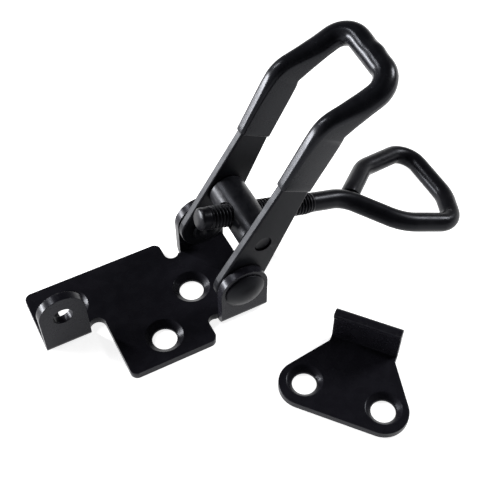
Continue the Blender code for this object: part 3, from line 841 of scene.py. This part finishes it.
class LATCH_OT_hook(bpy.types.Operator):
    """Hook: rolled thread, plain shank and a three-sided eye bent from one wire"""

    bl_idname = "latch.hook"
    bl_label = "Threaded Hook"

    around = 48

    def thread_radius(self, sizes, along, turn):
        """Radius of the threaded end at a place along it and a share of a turn."""
        phase = (along / sizes.pitch - turn) % 1.0
        flank = 1.0 - abs(2.0 * phase - 1.0)
        flank = min(max((flank - 0.12) / 0.66, 0.0), 1.0)
        flank = flank * flank * (3 - 2 * flank)
        root = sizes.crest - sizes.depth
        fade = 2.2 * sizes.pitch
        run_out = min(max((sizes.thread_end - along) / fade, 0.0), 1.0)
        plain = sizes.shank
        full = root + sizes.depth * flank
        radius = plain + (full - plain) * run_out
        from_tip = along + sizes.tip
        point = min(max((0.0026 - from_tip) / 0.0006, 0.0), 1.0)
        radius += (sizes.crest - 0.00012 - radius) * point
        return min(radius, 0.00205 + 0.9 * from_tip)

    def execute(self, context):
        sizes = context.scene.latch_hook
        low, high = (Vector(corner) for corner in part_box("hook_bolt"))
        across = Vector((0, 0, 1))
        rings = []
        stations = math.ceil((sizes.thread_end + sizes.tip) / sizes.pitch * 9)
        for i in range(stations + 1):
            along = -sizes.tip + (sizes.thread_end + sizes.tip) * i / stations
            ring = []
            for k in range(self.around):
                turn = k / self.around
                radius = self.thread_radius(sizes, along, turn)
                angle = math.tau * turn
                ring.append(Vector((along, radius * math.cos(angle), radius * math.sin(angle))))
            rings.append(ring)

        bends = [(sizes.thread_end + 0.0004, 0.0), (sizes.eye_start, 0.0), (0.0375, -0.0102)]
        bends += [(0.051, -0.0129), (0.0549, -0.0045), (0.0551, 0.0128)]
        bends += [(0.0385, 0.0083), (0.0309, 0.00187)]
        turns = (0.008, 0.012, sizes.eye_turn, 0.01, sizes.eye_turn, 0.008)
        path = resampled(rounded(bends, turns, 16), 0.0012)
        for i, point in enumerate(path):
            ahead = path[min(i + 1, len(path) - 1)]
            behind = path[max(i - 1, 0)]
            tangent = (ahead - behind).normalized()
            outward = Vector((-tangent.y, tangent.x, 0))
            centre = Vector((point.x, point.y, 0))
            ring = []
            for k in range(self.around):
                angle = math.tau * k / self.around
                offset = outward * math.cos(angle) + across * math.sin(angle)
                ring.append(centre + offset * sizes.shank)
            rings.append(ring)
        branch = [Vector((point.x, point.y, 0)) for point in path if point.x < 0.0375 and point.y < 0.0005]
        self.cope(rings[-1], rings[-2], branch, sizes.shank - 0.00004)
        hook = skin("hook_wire", rings, HOOK_FRAME)
        bevel = hook.modifiers.new("End edges", "BEVEL")
        bevel.width = 0.00015
        bevel.segments = 2
        bevel.limit_method = "ANGLE"
        bevel.angle_limit = math.radians(70)
        settle(hook)
        smooth(hook, 55.0, False)
        finish = context.scene.latch_finish
        material = steel_finish("hook_coating", finish.hook, finish.hook_gloss, 0.6)
        finished(hook, material, "hook", "hook_bolt")
        return {"FINISHED"}

    def cope(self, ring, before, branch, clear):
        """Run the wire's cut end down to the round of the wire that it butts against."""
        for k, point in enumerate(ring):
            travel = (point - before[k]).normalized() * 0.00008
            flat = Vector((1, 1, 0))
            rest = clear * (1 - 0.25 * (point.z / clear) ** 2)
            while min((point * flat - middle).length for middle in branch) > rest:
                point = point + travel
            ring[k] = point


class LATCH_OT_keeper(bpy.types.Operator):
    """Keeper: round-cornered plate with two countersunk holes and a bent-up lip"""

    bl_idname = "latch.keeper"
    bl_label = "Keeper"

    def execute(self, context):
        sizes = context.scene.latch_sheet
        sheet, bend = sizes.thickness, sizes.bend
        hole_x, end_r = sizes.keeper_pitch / 2, sizes.keeper_end
        riser_left, riser_right = -0.0069, 0.0076
        riser_outer, riser_top = 0.0149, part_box("strike_plate")[1][2]
        foot = riser_outer - bend
        neck = foot - 0.001
        outline = arc(-hole_x, 0.0, end_r, 145, 270, 28)
        outline += arc(hole_x, 0.0, end_r, -90, 35, 28)
        outline += [(riser_right, neck), (riser_right, foot), (riser_left, foot), (riser_left, neck)]
        turn = math.radians(-49.4)
        along = Vector((math.cos(turn), math.sin(turn), 0))
        spot = frame_matrix(along, UP.cross(along), UP, (0.0083, -0.0393, 0))
        keeper = slab("keeper_plate", outline, 0.0, sheet)
        lip_back, lip_reach, lip_edge, lip_round = 0.0015, 0.0006, 0.0014, 0.0004
        inner = riser_outer - sheet
        section = [(foot - 0.003, 0.0)]
        section += arc(foot, bend, bend, -90, 0, 14)
        section += arc(riser_outer - lip_back, riser_top - lip_back, lip_back, 0, 90, 14)
        nose = inner - lip_reach
        section += arc(nose + lip_round, riser_top - lip_round, lip_round, 90, 180, 6)
        section += [(nose, riser_top - lip_edge), (inner, riser_top - lip_edge - lip_reach)]
        section += arc(foot, bend, bend - sheet, 0, -90, 6)
        section.append((foot - 0.003, sheet))
        across = frame_matrix((0, 1, 0), (0, 0, 1), (1, 0, 0))
        join(keeper, slab("riser", section, riser_left, riser_right, across), "UNION")
        for place in (-hole_x, hole_x):
            cutter = countersink((place, 0.0004), sizes.keeper_hole, sizes.keeper_sink, 0.0012, sheet)
            join(keeper, cutter, "DIFFERENCE")
        soften(keeper, sizes.edge, 34.0)
        keeper.data.transform(spot)
        smooth(keeper)
        finish = context.scene.latch_finish
        material = steel_finish("keeper_coating", finish.plate, finish.plate_gloss, 0.45)
        finished(keeper, material, "keeper", "strike_plate")
        return {"FINISHED"}


class LATCH_OT_stage(bpy.types.Operator):
    """Stage: pale floor, soft light and the camera"""

    bl_idname = "latch.stage"
    bl_label = "Stage"

    def execute(self, context):
        scene = context.scene
        stage = scene.latch_stage
        self.lay_floor(stage)
        self.hang_lights()
        self.set_world(scene)
        self.place_camera(scene, stage)
        scene.view_settings.view_transform = "Standard"
        return {"FINISHED"}

    def lay_floor(self, stage):
        shell = bmesh.new()
        bmesh.ops.create_grid(shell, x_segments=1, y_segments=1, size=3.0)
        floor = add_object("floor", shell, Matrix.Translation((0, 0, -0.00005)))
        material, nodes, links = new_material("pale_paper")
        shader = nodes["Principled BSDF"]
        place = nodes.new("ShaderNodeTexCoord")
        fibre = noise(nodes, links, place, 900.0, 3.0, "paper tooth")
        tint = tuple(stage.floor)
        shade = tuple(value * 0.985 for value in tint[:3]) + (1,)
        links.new(
            blend_colour(nodes, links, spread(nodes, links, fibre.outputs["Fac"], 0, 1), tint, shade),
            shader.inputs["Base Color"],
        )
        shader.inputs["Roughness"].default_value = 0.9
        shader.inputs["Specular IOR Level"].default_value = 0.1
        shader.inputs["Emission Color"].default_value = (1, 1, 1, 1)
        shader.inputs["Emission Strength"].default_value = 0.86
        floor.data.materials.append(material)

    def hang_lights(self):
        """A narrow strip over the left shoulder and a softbox low on each side."""
        softboxes = (
            ("strip_back", (-0.28, 0.37, 0.39), (0.035, 0.22), 1.5),
            ("softbox_left", (-0.50, 0.355, 0.07), (0.30, 0.12), 8.0),
            ("softbox_right", (0.515, -0.02, 0.34), (0.16, 0.16), 3.0),
        )
        for name, place, size, power in softboxes:
            light = bpy.data.lights.new(name, "AREA")
            light.shape = "RECTANGLE"
            light.size, light.size_y = size
            light.energy = power
            lamp = bpy.data.objects.new(name, light)
            away = Vector(place).normalized()
            across = UP.cross(away).normalized()
            lamp.matrix_world = frame_matrix(across, away.cross(across), away, place)
            bpy.context.scene.collection.objects.link(lamp)

    def set_world(self, scene):
        """White studio tent with a black panel over the back, which the flat steel mirrors."""
        world = bpy.data.worlds.new("studio")
        scene.world = world
        world.use_nodes = True
        nodes, links = world.node_tree.nodes, world.node_tree.links
        place = nodes.new("ShaderNodeTexCoord")
        toward = nodes.new("ShaderNodeVectorMath")
        toward.operation = "DOT_PRODUCT"
        toward.inputs[1].default_value = Vector((0.05, -0.10, 1.0)).normalized()
        links.new(place.outputs["Generated"], toward.inputs[0])
        panel = nodes.new("ShaderNodeMapRange")
        panel.interpolation_type = "SMOOTHSTEP"
        panel.inputs["From Min"].default_value = -0.3
        panel.inputs["From Max"].default_value = 0.7
        links.new(toward.outputs["Value"], panel.inputs["Value"])
        tent, black = (1.0, 1.0, 1.0, 1), (0.02, 0.02, 0.022, 1)
        shade = blend_colour(nodes, links, panel.outputs["Result"], tent, black)
        links.new(shade, nodes["Background"].inputs["Color"])
        nodes["Background"].inputs["Strength"].default_value = 0.5

    def place_camera(self, scene, stage):
        azimuth, elevation, roll = stage.azimuth, stage.elevation, stage.roll
        outward = Vector((math.sin(azimuth), -math.cos(azimuth), 0))
        back = outward * math.cos(elevation) + UP * math.sin(elevation)
        right = Vector((math.cos(azimuth), math.sin(azimuth), 0))
        above = back.cross(right)
        rolled_right = right * math.cos(roll) - above * math.sin(roll)
        rolled_up = above * math.cos(roll) + right * math.sin(roll)
        camera = bpy.data.cameras.new("camera")
        camera.lens = stage.lens
        camera.sensor_width = 36.0
        camera.clip_start = 0.01
        holder = bpy.data.objects.new("camera", camera)
        spot = Vector(stage.aim) + back * stage.distance
        holder.matrix_world = frame_matrix(rolled_right, rolled_up, back, spot)
        scene.collection.objects.link(holder)
        scene.camera = holder


OPERATORS = (
    LATCH_OT_stage,
    LATCH_OT_base_plate,
    LATCH_OT_rivets,
    LATCH_OT_lever_bar,
    LATCH_OT_grip,
    LATCH_OT_cross_nut,
    LATCH_OT_hook,
    LATCH_OT_keeper,
)

GROUPS = {
    "latch_sheet": LatchSheet,
    "latch_lever": LatchLever,
    "latch_hook": LatchHook,
    "latch_finish": LatchFinish,
    "latch_stage": LatchStage,
}


class LATCH_PT_parts(bpy.types.Panel):
    """Lists the operators that build the latch"""

    bl_label = "Stair Gate Latch"
    bl_idname = "LATCH_PT_parts"
    bl_space_type = "VIEW_3D"
    bl_region_type = "UI"
    bl_category = "Latch"

    def draw(self, context):
        for operator in OPERATORS:
            self.layout.operator(operator.bl_idname)


def register():
    for group in GROUPS.values():
        bpy.utils.register_class(group)
    for name, group in GROUPS.items():
        setattr(bpy.types.Scene, name, PointerProperty(type=group))
    for operator in OPERATORS:
        bpy.utils.register_class(operator)
    bpy.utils.register_class(LATCH_PT_parts)


def unregister():
    bpy.utils.unregister_class(LATCH_PT_parts)
    for operator in reversed(OPERATORS):
        bpy.utils.unregister_class(operator)
    for name, group in GROUPS.items():
        delattr(bpy.types.Scene, name)
        bpy.utils.unregister_class(group)


def plain(bounds):
    """Both corners of a box as lists of plain numbers."""
    return [[float(value) for value in corner] for corner in bounds]


def main():
    register()
    bpy.ops.latch.stage()
    bpy.ops.latch.base_plate()
    bpy.ops.latch.rivets()
    bpy.ops.latch.lever_bar()
    bpy.ops.latch.grip()
    bpy.ops.latch.cross_nut()
    bpy.ops.latch.hook()
    bpy.ops.latch.keeper()


if __name__ == "__main__":
    main()
